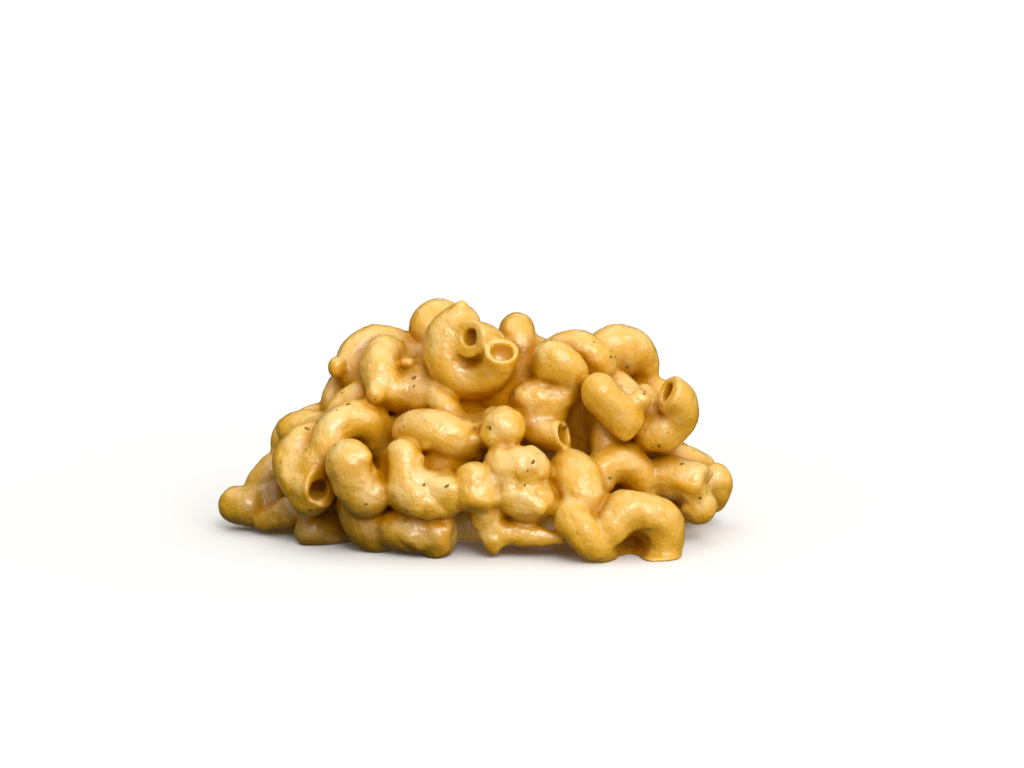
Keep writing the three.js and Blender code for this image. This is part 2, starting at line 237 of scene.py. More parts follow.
# Where shade is painted into the colour, at the lower left and in the recesses by the floor: [centre,
# radius, strength].
PAINTED_SHADE_SPOTS = {
    "left_foot": [(-27, -21, 4), 18, 1.0],
    "left_floor": [(-38, -16, 3), 14, 1.0],
    "left_slope": [(-49, -4, 8), 12, 1.0],
    "floor_mid": [(-12, -29, 0), 13, 0.85],
    "floor_wall": [(-1, -20, 5), 9, 1.0],
    "under_lobe": [(14, -25, 8), 8, 1.0],
    "wave_cave": [(38, -28, 2), 7, 1.0],
}
SPOT_WIDTH = 0.7  # of a spot's radius, over which it fades
SPOT_REACH = 1.6  # of a spot's radius, beyond which it isn't felt

# The relief of the sauce. Swells are [period, seed, height], and folds are [period, seed, height where
# the sauce is thin, what thick sauce adds]. A fold is noise with its low side turned up, as curdled
# sauce lies.
NOISE_GAIN = 2.2  # takes smoothed random numbers back to between about -1 and 1
SWELLS = [(6.5, 1, 0.5), (3.8, 2, 0.3)]
FOLDS = [(4.2, 3, 0.2, 1.5), (2.1, 4, 0.25, 0.6)]
FOLD_MIDDLE = 0.35

# Curds on the thick sauce.
CURDS = 60
CURD_SEED = 3
CURD_SCATTER = 0.5  # of the radius of the spot it lies in
CURD_SIZES = (0.9, 1.7)
CURD_UNEVENNESS = (0.8, 1.3)
CURD_SUNK = 0.6  # of its size
CURD_MISS = 1.0  # from the surface, at which a curd is left out
PULLS = 4  # steps in which a curd is pulled onto the surface

# What the material is told about the room in front of each point of the surface.
NEAR_PROBE = 1.6  # how far out the nearest surface is measured
CROWD_PROBE = 3.0  # how far out the crowding is measured
CROWD_REACH = 4.0  # how far round a place is felt as crowding
CROWD_STEP = 4  # in cells of the field

# Flecks. Those that show from the front have their places in the photograph, in pixels.
HERB_PIXELS = [
    (414, 378), (414, 386), (428, 406), (475, 428), (490, 428), (424, 485), (447, 486), (366, 504),
    (407, 511), (317, 422), (310, 510), (533, 462), (525, 485), (514, 394), (566, 427), (611, 357),
    (627, 367), (644, 394), (659, 446), (682, 464), (610, 478), (700, 498), (649, 529),
]
SPICE_PIXELS = [(517, 443), (410, 408), (478, 433), (600, 512)]
HERBS_ROUND_THE_BACK = 90
HERB_SPECKS = 200
HERB_LENGTHS = (0.8, 1.5)
SPECK_LENGTHS = (0.3, 0.65)
SPICE_LENGTHS = (1.4, 2.2)
FLECK_SEED = 8
FLECK_SIDES = 9
FLECK_EDGES = (0.75, 1.1)  # of half the length, out to a point of the edge
FLECK_WIDTHS = (0.28, 0.68)  # of half the length
FLECK_BENDS = (-0.25, 0.1)  # of half the length, up at both ends
FLECK_EDGE = 0.11  # half the thickness at the edge
FLECK_CROWN = 0.132  # half the thickness in the middle

# A scattered fleck is looked for from outside, along a line to a random place in this box. The line
# comes down at an angle between two, in radians.
SEEN_RISES = (0.05, 1.2)
AIM_X = (-50, 50)
AIM_Y = (-25, 30)
AIM_Z = (5, 40)
AIM_DISTANCE = 300

# The camera. It looks at the place that the middle of the photograph shows.
PHOTO_SIZE = (1024, 768)
FOCAL_PIXELS = 2800
SENSOR_WIDTH = 36.0
CAMERA_ELEVATION = 10.0
CAMERA_DISTANCE = 700.0
LOOKS_AT = np.array([9.0, 0.0, 37.0]) + CENTRING
CLIP_NEAR = 10.0
CLIP_FAR = 50000.0

# The stage: a pale floor, and a dark card under it at the left, out of the camera's sight, which keeps
# the left foot in shade. Each is [(left, right), (front, back), height].
FLOOR = [(-8000, 8000), (-8000, 8000), 0]
CARD = [(-400, -5), (-400, 200), -1]

# The plain materials: [colour, roughness, gloss].
PALE = [(0.93, 0.93, 0.93), 0.9, 0.0]
BLACK = [(0.0, 0.0, 0.0), 0.5, 0.5]
HERB = [(0.17, 0.12, 0.025), 0.55, 0.2]
SPICE = [(0.55, 0.15, 0.02), 0.55, 0.2]

# In what follows, four numbers can be a range: a value that goes from the first to the second gives a
# result that goes from the third to the fourth. Where there are two, the result goes from 0 to 1.

# The glow all round: brightest and whitest on one side, and warm on the other, as it comes back from
# the pasta and the ground.
BRIGHT_SIDE = (0.4, -0.6, 0.75)
GLOW = (-0.5, 0.8, 0.13, 0.8)
WHITENESS = (-0.5, 0.5)
WARM_GLOW = (1.0, 0.72, 0.3)
WHITE_GLOW = (1.0, 0.985, 0.96)

# The lamps: [place it shines from, width in degrees, strength].
LAMPS = {
    "key": [(0.6, -0.95, 0.95), 45, 1.05],
    "sparkle": [(0.2, -1.0, 0.8), 24, 0.75],
    "top": [(-0.2, 0.2, 1.0), 60, 0.45],
}

# The colours of the cheese sauce, and of the shade painted into it at the lower left, in creases and in
# hollows. Thick sauce is also called cream.
THIN_SAUCE = (0.84, 0.45, 0.008)
THICK_SAUCE = (0.88, 0.60, 0.18)
# Painted shade for the lower left and the recesses by the floor.
PAINTED_SHADE_COLOUR = (0.19, 0.088, 0.008)
# Painted shade in the creases between pieces.
PAINTED_CREASE_SHADE = (0.66, 0.30, 0.002)
# Painted shade in the crowded hollows of the heap.
PAINTED_HOLLOW_SHADE = (0.47, 0.185, 0.001)

# How much of each shows. Creases have little room in front of them, and hollows are crowded; shade is
# painted into both.
CREAM_IN_PATCHES = (0.3, 0.72, -0.2, 0.5)
# Upward faces turn paler: partly thick sauce that settles on top, partly painted light.
CREAM_AND_PAINTED_LIGHT_ON_TOP = (-0.5, 0.9, -0.1, 0.35)
CREAM_IN_THICK_SAUCE = 0.3
PAINTED_SHADE_SHARE = 0.85
PAINTED_CREASE_SHADE_SHARE = (0.2, 0.97, 0.9, 0.0)
PAINTED_HOLLOW_SHADE_SHARE = (0.18, 0.47, 0.0, 0.85)

# Noise in the sauce: (period, detail, roughness).
PATCHES = (7.0, 3.0, 0.5)
DENTS = (3.2, 2.5, 0.5)
GRAIN = (1.0, 3.0, 0.6)
UNEVEN_SHINE = (4.0, 2.0, 0.5)

# The bumps that are too fine for the mesh, in millimetres.
DENT_HEIGHT = 0.4
DENT_HEIGHT_IN_CREAM = 0.25  # is added
GRAIN_HEIGHT = 0.16
STREAK_HEIGHT = (0.2, 0.9, 0.16, 0.08)
STREAKS = (0.75, 0.75, 0.1)  # for each millimetre across a tube, in two directions, and along it

# How the sauce shines and lets light through.
SHINE_IN_HOLLOWS = (0.25, 0.5, 1.0, 0.1)
SHINE_IN_CREASES = (0.3, 0.95, 0.2, 1.0)
# Less shine where shade is painted.
SHINE_IN_PAINTED_SHADE = (0.0, 1.0, 1.0, 0.45)
ROUGHNESS = (0.3, 0.7, 0.3, 0.45)
GLOSS = 0.7
COAT_ROUGHNESS = 0.23
COAT_IOR = 1.6
GLOW_THROUGH = 0.5
GLOW_THROUGH_REACH = (1.0, 0.6, 0.08)  # of the scale, for red, green and blue
GLOW_THROUGH_SCALE = 2.0


def unit(vector):
    return vector / np.linalg.norm(vector)


def seeded_random(seed):
    """Numbers from 0 to 1 that are the same on every run, and the same as the part's source draws."""
    factor, step, modulus = 9301, 49297, 233280
    state = seed
    while True:
        state = (state * factor + step) % modulus
        yield state / modulus


class Tube:
    """One piece of macaroni: its middle line, and what is outward of its corkscrew along that line."""

    def __init__(self, start, end, phase, turns, coil=COIL_RADIUS, tube=TUBE_RADIUS, tip=None,
                 lean=(0, 0, 0), mouth=None, blunt=None, bore=BORE_SHARE, deep=BORE_DEPTH,
                 soft=PIECE_SOFTNESS):
        self.radius = tube
        self.tip = tip or tube
        self.mouth = mouth
        self.blunt = blunt
        self.bore = bore * (self.tip if mouth == "end" else tube)
        self.deep = deep
        self.soft = soft
        start, end, lean = (np.array(place, float) for place in (start, end, lean))
        run = end - start
        axis = unit(run)
        up = np.array([0.0, -1.0, 0.0]) if abs(axis[2]) > STEEP_RISE else np.array([0.0, 0.0, 1.0])
        upward = unit(up - up.dot(axis) * axis)
        sideways = np.cross(axis, upward)
        sweep = 2 * math.pi * turns
        span = math.hypot(np.linalg.norm(run), sweep * coil)
        steps = max(FEWEST_STEPS, round(span / STEP_ALONG))
        t = np.linspace(0, 1, steps + 1)[:, None]
        angle = math.radians(phase) + sweep * t
        self.outward = np.cos(angle) * upward + np.sin(angle) * sideways
        leaning = np.maximum(0, (t - 1 + LEAN_SHARE) / LEAN_SHARE) ** 2
        self.line = start + t * run + coil * self.outward + leaning * lean + CENTRING
        self.steps = np.diff(self.line, axis=0)
        self.lengths = np.linalg.norm(self.steps, axis=1)
        self.arcs = np.concatenate([[0.0], np.cumsum(self.lengths)])


def front_macaroni():
    return [Tube(*place, **different) for *place, different in FRONT_MACARONI.values()]


def back_macaroni():
    random = seeded_random(BACK_SEED)
    pieces = []
    for row in BACK_ROWS:
        for i in range(row["pieces"]):
            angle = math.radians(row["first"] + (row["last"] - row["first"]) * i / (row["pieces"] - 1))
            middle = np.array([row["half_width"] * math.cos(angle), row["half_depth"] * math.sin(angle),
                               row["height"]])
            tilt = math.radians(BACK_TILT * (2 * next(random) - 1))
            along = np.array([-math.sin(angle) * math.cos(tilt), math.cos(angle) * math.cos(tilt),
                              math.sin(tilt)])
            half = along * BACK_LENGTH / 2
            pieces.append(Tube(middle - half, middle + half, 360 * next(random), BACK_TURNS))
    return pieces


def inner_macaroni():
    """Macaroni that lies deep in the heap and shows between the pieces on the outside."""
    draw = np.random.default_rng(INNER_SEED)
    golden_angle = math.pi * (3 - math.sqrt(5))
    pieces = []
    for centre, half_sizes, count in MOUNDS:
        for i in range(count):
            height = (i + 0.5) / count
            turn = i * golden_angle
            level = math.sqrt(1 - height * height)
            out = np.array([level * math.cos(turn), level * math.sin(turn), height])
            middle = np.array(centre) + out * (np.array(half_sizes) - INNER_SINK)
            half = unit(np.cross(out, draw.normal(size=3))) * INNER_LENGTH / 2
            phase = 360 * draw.random()
            if middle[2] > TUBE_RADIUS:
                pieces.append(Tube(middle - half, middle + half, phase, INNER_TURNS))
    return pieces


class Field:
    """Distances to the nearest surface on a regular grid, negative inside."""

    def __init__(self):
        self.axes = [np.arange(low, high, VOXEL, dtype=np.float32)
                     for low, high in zip(FIELD_LOW, FIELD_HIGH)]
        self.values = np.full([len(axis) for axis in self.axes], FAR, np.float32)
        self.nearest_tube = np.full(self.values.shape, -1, np.int16)

    def window(self, low, high):
        """The slices of the grid between two corners."""
        slices = []
        for lowest, highest, axis in zip(low, high, self.axes):
            first = math.floor((lowest - axis[0]) / VOXEL)
            last = math.ceil((highest - axis[0]) / VOXEL) + 1
            slices.append(slice(min(max(first, 0), len(axis)), min(max(last, 0), len(axis))))
        return tuple(slices)

    def places(self, window, origin=(0, 0, 0)):
        """The x, y and z of a window's cells, measured from an origin."""
        x, y, z = (axis[part] - start for axis, part, start in zip(self.axes, window, origin))
        return x[:, None, None], y[None, :, None], z[None, None, :]

    def add(self, window, part, softness):
        """Joins a surface to the field, and lets sauce fill the crease between them."""
        self.values[window] = soft_least(self.values[window], part, softness)

    def cut(self, window, part, softness):
        """Takes a shape out of the field."""
        self.values[window] = -soft_least(-self.values[window], part, softness)

    def sample(self, points, values=None, cell=VOXEL):
        """The field's value at each point, interpolated, or that of another grid with its own cells."""
        values = self.values if values is None else values
        place = (points - FIELD_LOW) / cell
        limits = np.array(values.shape) - 2
        corner = np.clip(np.floor(place).astype(int), 0, limits)
        rest = np.clip(place - corner, 0, 1)
        found = np.zeros(len(points))
        for offset in itertools.product((0, 1), repeat=3):
            weights = np.abs(1 - np.array(offset) - rest).prod(1)
            found += weights * values[tuple((corner + offset).T)]
        return found

    def gradient(self, points):
        """The direction away from the surface at each point."""
        slope = np.zeros_like(points)
        for axis in range(3):
            move = np.zeros(3)
            move[axis] = SLOPE_STEP
            slope[:, axis] = self.sample(points + move) - self.sample(points - move)
        return slope / np.maximum(np.linalg.norm(slope, axis=1, keepdims=True), TINY)


def soft_least(a, b, softness):
    """The lesser of two distances, rounded where they are close, so that a crease is filled."""
    overlap = np.maximum(softness - np.abs(a - b), 0) / softness
    return np.minimum(a, b) - overlap * overlap * softness / 4


def within(small, whole):
    """A window of the grid, as slices of a larger window that holds it."""
    return tuple(slice(part.start - start.start, part.stop - start.start)
                 for part, start in zip(small, whole))


def chain_distance(field, tube, first, last, reach):
    """A window of the field round a stretch of a tube, with the distance to its middle line and the
    length along it of the nearest point."""
    used = [i for i in range(len(tube.steps)) if tube.arcs[i + 1] > first and tube.arcs[i] < last]
    corners = tube.line[used[0]:used[-1] + 2]
    window = field.window(corners.min(0) - reach, corners.max(0) + reach)
    shape = [part.stop - part.start for part in window]
    nearest = np.full(shape, (reach + OUT_OF_REACH) ** 2, np.float32)
    along = np.zeros(shape, np.float32)
    for i in used:
        start, step, length = tube.line[i], tube.steps[i], tube.lengths[i]
        ends = np.array([start, start + step])
        small = field.window(ends.min(0) - reach, ends.max(0) + reach)
        x, y, z = field.places(small, start)
        inside = within(small, window)
        dot = x * step[0] + y * step[1] + z * step[2]
        share = np.clip(dot / length ** 2, 0, 1)
        squared = x * x + y * y + z * z - share * (2 * dot - share * length ** 2)
        better = squared < nearest[inside]
        nearest[inside] = np.where(better, squared, nearest[inside])
        along[inside] = np.where(better, tube.arcs[i] + share * length, along[inside])
    return window, np.sqrt(np.maximum(nearest, 0)), along


def tube_surface(field, tube):
    """Distances to one piece of macaroni, round at its ends, apart from one that is open or blunt."""
    length = tube.arcs[-1]
    window, distance, along = chain_distance(field, tube, 0, length, tube.radius + BAND)
    surface = distance - (tube.radius + (tube.tip - tube.radius) * (along / length) ** 2)
    cut_end = tube.mouth or tube.blunt
    if not cut_end:
        return window, surface

    at_start = cut_end == "start"
    tip, inner = (tube.line[0], tube.line[1]) if at_start else (tube.line[-1], tube.line[-2])
    beyond = sum(place * part for place, part in zip(field.places(window, tip), unit(tip - inner)))
    from_tip = along if at_start else length - along
    rounding = MOUTH_ROUNDING if tube.mouth else BLUNT_ROUNDING
    surface = np.where(from_tip < tube.radius, -soft_least(-surface, -beyond, rounding), surface)
    if tube.mouth:
        first, last = (0, tube.deep) if at_start else (length - tube.deep, length)
        reach = tube.radius + BORE_BAND
        bore_window, to_axis, _ = chain_distance(field, tube, first, last, reach)
        inside = within(bore_window, window)
        surface[inside] = -soft_least(-surface[inside], to_axis - tube.bore, BORE_ROUNDING)
    return window, surface


def mound_surface(field, centre, half_sizes, sink=0.0):
    """Distances to a mound with three half sizes, or to one that lies a little below it."""
    half_sizes = np.array(half_sizes) - sink
    centre = np.array(centre) + CENTRING
    window = field.window(centre - half_sizes - BAND, centre + half_sizes + BAND)
    x, y, z = field.places(window, centre)
    a, b, c = half_sizes
    level = np.sqrt((x / a) ** 2 + (y / b) ** 2 + (z / c) ** 2)
    slope = np.sqrt((x / a ** 2) ** 2 + (y / b ** 2) ** 2 + (z / c ** 2) ** 2)
    return window, level * (level - 1) / np.maximum(slope, TINY)


def smooth_noise(shape, period, seed):
    """Noise between about -1 and 1 on the grid, which changes over about one period.

    Random numbers, one period apart, are smoothed by a cubic spline along each axis in turn.
    """
    draw = np.random.default_rng(seed)
    counts = [math.ceil(size * VOXEL / period) + 4 for size in shape]
    coarse = draw.uniform(-1, 1, counts).astype(np.float32)
    for axis, size in enumerate(shape):
        place = np.arange(size) * VOXEL / period
        first = np.floor(place).astype(int)
        rest = place - first
        weights = np.zeros((size, counts[axis]), np.float32)
        spline = [(1 - rest) ** 3, 3 * rest ** 3 - 6 * rest ** 2 + 4,
                  -3 * rest ** 3 + 3 * rest ** 2 + 3 * rest + 1, rest ** 3]
        for offset, weight in enumerate(spline):
            weights[np.arange(size), first + offset] += weight / 6
        coarse = np.moveaxis(np.tensordot(weights, coarse, (1, axis)), 0, axis)
    return coarse * NOISE_GAIN


def spread(field, spots):
    """How strongly the nearest spot is felt at each place of the grid, from 0 to 1."""
    felt = np.zeros(field.values.shape, np.float32)
    for centre, radius, strength in spots.values():
        centre = np.array(centre) + CENTRING
        window = field.window(centre - SPOT_REACH * radius, centre + SPOT_REACH * radius)
        x, y, z = field.places(window, centre)
        spot = strength * np.exp(-(x * x + y * y + z * z) / (SPOT_WIDTH * radius) ** 2)
        felt[window] = np.maximum(felt[window], spot)
    return felt


def crowding(field):
    """How much of the room round each place is filled, from 0 to 1, on a grid with fewer cells."""
    filled = (field.values[::CROWD_STEP, ::CROWD_STEP, ::CROWD_STEP] < 0).astype(np.float32)
    for axis, size in enumerate(filled.shape):
        away = (np.arange(size)[:, None] - np.arange(size)) * VOXEL * CROWD_STEP / CROWD_REACH
        weights = np.exp(-away ** 2 / 2).astype(np.float32)
        weights /= weights[size // 2].sum()
        filled = np.moveaxis(np.tensordot(weights, filled, (1, axis)), 0, axis)
    return filled


def add_curds(field):
    """Small curds in the thick sauce, each pulled onto the surface from a random place near it."""
    draw = np.random.default_rng(CURD_SEED)
    spots = list(THICK_SPOTS.values())
    weights = np.array([strength * radius ** 2 for _, radius, strength in spots])
    for index in draw.choice(len(spots), CURDS, p=weights / weights.sum()):
        centre, radius, _ = spots[index]
        place = np.array(centre) + CENTRING + draw.normal(size=3) * radius * CURD_SCATTER
        for _ in range(PULLS):
            away = field.gradient(place[None])[0]
            place = place - away * field.sample(place[None])[0]
        size = draw.uniform(*CURD_SIZES)
        half_sizes = size * draw.uniform(*CURD_UNEVENNESS, 3)
        sunk = place - away * size * CURD_SUNK
        window, surface = mound_surface(field, sunk - CENTRING, half_sizes)
        if surface.size and abs(field.sample(place[None])[0]) < CURD_MISS:
            field.add(window, surface, CURD_SOFTNESS)


def add_relief(field):
    shape = field.values.shape
    thick = spread(field, THICK_SPOTS)
    for period, seed, height in SWELLS:
        field.values += height * smooth_noise(shape, period, seed)
    for period, seed, height, more_in_thick_sauce in FOLDS:
        folded = np.abs(smooth_noise(shape, period, seed)) - FOLD_MIDDLE
        field.values -= (height + more_in_thick_sauce * thick) * folded


def build_field(tubes):
    field = Field()
    for centre, half_sizes, _ in MOUNDS:
        window, surface = mound_surface(field, centre, half_sizes, MOUND_SINK)
        field.add(window, surface, MOUND_SOFTNESS)
    for index, tube in enumerate(tubes):
        window, surface = tube_surface(field, tube)
        field.nearest_tube[window][surface < field.values[window]] = index
        field.add(window, surface, tube.soft)
    for centre, half_sizes in FILLINGS.values():
        window, surface = mound_surface(field, centre, half_sizes)
        field.add(window, surface, FILLING_SOFTNESS)
    for centre, half_sizes in GAPS.values():
        window, surface = mound_surface(field, centre, half_sizes)
        field.cut(window, surface, FILLING_SOFTNESS)
    add_curds(field)
    add_relief(field)
    depth_below_floor = -field.axes[2]
    field.values = np.maximum(field.values, depth_below_floor)
    return field


def field_mesh(field):
    """The field's surface as points and faces of four corners."""
    kept = np.clip(field.values, -MESH_BAND, MESH_BAND)
    grid = openvdb.FloatGrid(MESH_BAND)
    grid.copyFromArray(kept, tolerance=TINY)
    grid.transform = openvdb.createLinearTransform(voxelSize=VOXEL)
    points, _, faces = grid.convertToPolygons(isovalue=0.0, adaptivity=0.0)
    return points + FIELD_LOW, faces


def keep_largest(points, faces):
    """Drops loose scraps of surface."""
    label = np.arange(len(points))
    while True:
        lowest = label[faces].min(1)
        new = label.copy()
        for corner in range(faces.shape[1]):
            np.minimum.at(new, faces[:, corner], lowest)
        new = new[new]
        if (new == label).all():
            break
        label = new
    names, counts = np.unique(label[faces[:, 0]], return_counts=True)
    kept = faces[label[faces[:, 0]] == names[counts.argmax()]]
    used, index = np.unique(kept, return_inverse=True)
    return points[used], index.reshape(kept.shape)


def make_object(name, points, faces):
    mesh = bpy.data.meshes.new(name)
    mesh.from_pydata((points * MM).tolist(), [], faces.tolist())
    thing = bpy.data.objects.new(name, mesh)
    bpy.context.scene.collection.objects.link(thing)
    return thing


def decimate(thing, most):
    """Leaves an object with no more than so many triangles."""
    thing.data.calc_loop_triangles()
    triangles = len(thing.data.loop_triangles)
    if triangles > most:
        modifier = thing.modifiers.new("fewer", "DECIMATE")
        modifier.ratio = most / triangles
        modifier.use_collapse_triangulate = True
        graph = bpy.context.evaluated_depsgraph_get()
        fewer = bpy.data.meshes.new_from_object(thing.evaluated_get(graph))
        thing.modifiers.clear()
        thing.data = fewer


def places_on_tubes(tubes, owners, points):
    """Each point's place across its own tube, in two directions, and how far along the tube it is."""
    found = np.zeros((len(points), 3))
    for index, tube in enumerate(tubes):
        mine = np.nonzero(owners == index)[0]
        if len(mine) == 0:
            continue
        places = points[mine]
        nearest = ((places[:, None] - tube.line[None]) ** 2).sum(2).argmin(1)
        tangents = np.gradient(tube.line, axis=0)
        tangents /= np.linalg.norm(tangents, axis=1)[:, None]
        offset = places - tube.line[nearest]
        tangent, outward = tangents[nearest], tube.outward[nearest]
        across = np.cross(outward, tangent)
        found[mine] = np.stack([(offset * outward).sum(1), (offset * across).sum(1),
                                tube.arcs[nearest] + (offset * tangent).sum(1)], 1)
    return found


def add_attribute(mesh, name, values):
    kind, key = ("FLOAT", "value") if values.ndim == 1 else ("FLOAT_VECTOR", "vector")
    attribute = mesh.attributes.new(name, kind, "POINT")
    attribute.data.foreach_set(key, values.astype(np.float32).ravel())


def describe_surface(thing, field, tubes):
    """Keeps on each point what the material needs: which sauce lies there, where shade is painted, how
    much room is in front of it, whether it faces up, and its place on its own piece of macaroni."""
    mesh = thing.data
    points = np.empty(len(mesh.vertices) * 3)
    mesh.vertices.foreach_get("co", points)
    points = points.reshape(-1, 3) / MM
    away = field.gradient(points)
    cells = np.clip(np.round((points - FIELD_LOW) / VOXEL).astype(int), 0,
                    np.array(field.values.shape) - 1)
    owners = field.nearest_tube[tuple(cells.T)]
    near_room = field.sample(points + away * NEAR_PROBE) / NEAR_PROBE
    crowded = field.sample(points + away * CROWD_PROBE, crowding(field), VOXEL * CROWD_STEP)
    add_attribute(mesh, "thick_sauce", field.sample(points, spread(field, THICK_SPOTS)))
    # Where shade is painted into the colour.
    add_attribute(mesh, "painted_shade", field.sample(points, spread(field, PAINTED_SHADE_SPOTS)))
    add_attribute(mesh, "near_room", np.clip(near_room, 0, 1))
    add_attribute(mesh, "crowded", crowded)
    add_attribute(mesh, "upward", away[:, 2])
    add_attribute(mesh, "place_on_tube", places_on_tubes(tubes, owners, points))
    mesh.shade_smooth()
    mesh.normals_split_custom_set_from_vertices(away.tolist())


def make_heap():
    tubes = inner_macaroni() + back_macaroni() + front_macaroni()
    field = build_field(tubes)
    heap = make_object("macaroni", *keep_largest(*field_mesh(field)))
    decimate(heap, MOST_TRIANGLES)
    describe_surface(heap, field, tubes)
    heap.data.materials.append(cheese_material())
    return heap


def fleck(draw, place, away, length):
    """A small flat flake that lies on the surface: its points and faces, from an uneven ring."""
    across = unit(np.cross(away, draw.normal(size=3)))
    along = np.cross(across, away)
    angles = np.linspace(0, 2 * math.pi, FLECK_SIDES, endpoint=False)[:, None]
    ends = np.cos(angles) * draw.uniform(*FLECK_EDGES, (FLECK_SIDES, 1))
    sides = np.sin(angles) * draw.uniform(*FLECK_WIDTHS, (FLECK_SIDES, 1))
    lift = np.cos(angles) ** 2 * draw.uniform(*FLECK_BENDS)
    ring = place + (ends * along + sides * across + lift * away) * length / 2
    points = np.vstack([ring + away * FLECK_EDGE, ring - away * FLECK_EDGE,
                        place + away * FLECK_CROWN, place - away * FLECK_CROWN])
    first = np.arange(FLECK_SIDES)
    second = (first + 1) % FLECK_SIDES
    top_middle = np.full(FLECK_SIDES, 2 * FLECK_SIDES)
    triangles = [
        (first + FLECK_SIDES, second + FLECK_SIDES, second),
        (first + FLECK_SIDES, second, first),
        (first, second, top_middle),
        (second + FLECK_SIDES, first + FLECK_SIDES, top_middle + 1),
    ]
    return points, np.vstack([np.column_stack(corners) for corners in triangles])


def flecks(name, draw, kinds):
    """Flecks of one or more sizes at places on the heap, as one mesh."""
    points, faces, count = [], [], 0
    for places, lengths in kinds:
        for place, away in filter(None, places):
            length = draw.uniform(*lengths)
            these_points, these_faces = fleck(draw, np.array(place) / MM, np.array(away), length)
            points.append(these_points)
            faces.append(these_faces + count)
            count += len(these_points)
    return make_object(name, np.vstack(points), np.vstack(faces))


def seen_at(tree, pixel):
    """Where a line from the camera through a pixel of the photograph meets the heap, and the way out."""
    camera = bpy.context.scene.camera
    ray = Vector((pixel[0] - PHOTO_SIZE[0] / 2, PHOTO_SIZE[1] / 2 - pixel[1], -FOCAL_PIXELS)).normalized()
    place, away, _, _ = tree.ray_cast(camera.location, camera.rotation_euler.to_matrix() @ ray)
    return (place, away) if place else None


def seen_from(tree, draw, first, last):
    """A random place that shows from a direction between two, and the way out."""
    turn = draw.uniform(first, last)
    rise = draw.uniform(*SEEN_RISES)
    out = Vector((math.cos(turn) * math.cos(rise), math.sin(turn) * math.cos(rise), math.sin(rise)))
    aim = Vector([draw.uniform(*span) for span in (AIM_X, AIM_Y, AIM_Z)]) * MM
    place, away, _, _ = tree.ray_cast(aim + out * (AIM_DISTANCE * MM), -out)
    return (place, away) if place else None


def make_flecks(heap):
    tree = BVHTree.FromObject(heap, bpy.context.evaluated_depsgraph_get())
    draw = np.random.default_rng(FLECK_SEED)
    herb_places = [seen_at(tree, pixel) for pixel in HERB_PIXELS]
    herb_places += [seen_from(tree, draw, 0, math.pi) for _ in range(HERBS_ROUND_THE_BACK)]
    speck_places = [seen_from(tree, draw, 0, 2 * math.pi) for _ in range(HERB_SPECKS)]
    spice_places = [seen_at(tree, pixel) for pixel in SPICE_PIXELS]
    herbs = flecks("herbs", draw, [(herb_places, HERB_LENGTHS), (speck_places, SPECK_LENGTHS)])
    spice = flecks("spice", draw, [(spice_places, SPICE_LENGTHS)])
    herbs.data.materials.append(plain_material("herb", *HERB))
    spice.data.materials.append(plain_material("spice", *SPICE))
    return herbs, spice


def make_camera():
    camera = bpy.data.objects.new("camera", bpy.data.cameras.new("camera"))
    bpy.context.scene.collection.objects.link(camera)
    bpy.context.scene.camera = camera
    camera.data.sensor_width = SENSOR_WIDTH
    camera.data.lens = SENSOR_WIDTH * FOCAL_PIXELS / PHOTO_SIZE[0]
    elevation = math.radians(CAMERA_ELEVATION)
    back = Vector((0, -math.cos(elevation), math.sin(elevation)))
    camera.location = (Vector(LOOKS_AT) + back * CAMERA_DISTANCE) * MM
    camera.rotation_euler = (-back).to_track_quat("-Z", "Y").to_euler()
    camera.data.clip_start = CLIP_NEAR * MM
    camera.data.clip_end = CLIP_FAR * MM


def make_rectangle(name, span_x, span_y, height, material):
    corners = np.array([(span_x[0], span_y[0], height), (span_x[1], span_y[0], height),
                        (span_x[1], span_y[1], height), (span_x[0], span_y[1], height)])
    rectangle = make_object(name, corners, np.array([(0, 1, 2, 3)]))
    rectangle.data.materials.append(material)
    return rectangle


def make_stage():
    floor = make_rectangle("floor", *FLOOR, plain_material("pale_floor", *PALE))
    floor.visible_diffuse = False
    floor.visible_glossy = False
    card = make_rectangle("dark_card", *CARD, plain_material("black_card", *BLACK))
    card.visible_camera = False
    card.visible_glossy = False
    card.visible_shadow = False


def make_glow():
    world = bpy.data.worlds.new("studio")
    bpy.context.scene.world = world
    studio = Nodes(world, "Background")
    direction = studio.node("ShaderNodeTexCoord", "Generated")
    facing = studio.vector_math("DOT_PRODUCT", "Value", direction, unit(np.array(BRIGHT_SIDE)))
    colour = studio.mix(studio.between(facing, *WHITENESS), WARM_GLOW, WHITE_GLOW)
    studio.set(studio.main, "Strength", studio.between(facing, *GLOW))
    studio.set(studio.main, "Color", colour)


def make_lamps():
    for name, (place, width, strength) in LAMPS.items():
        lamp = bpy.data.lights.new(name, "SUN")
        lamp.angle = math.radians(width)
        lamp.energy = strength
        thing = bpy.data.objects.new(name, lamp)
        thing.rotation_euler = (-Vector(place)).to_track_quat("-Z", "Y").to_euler()
        bpy.context.scene.collection.objects.link(thing)


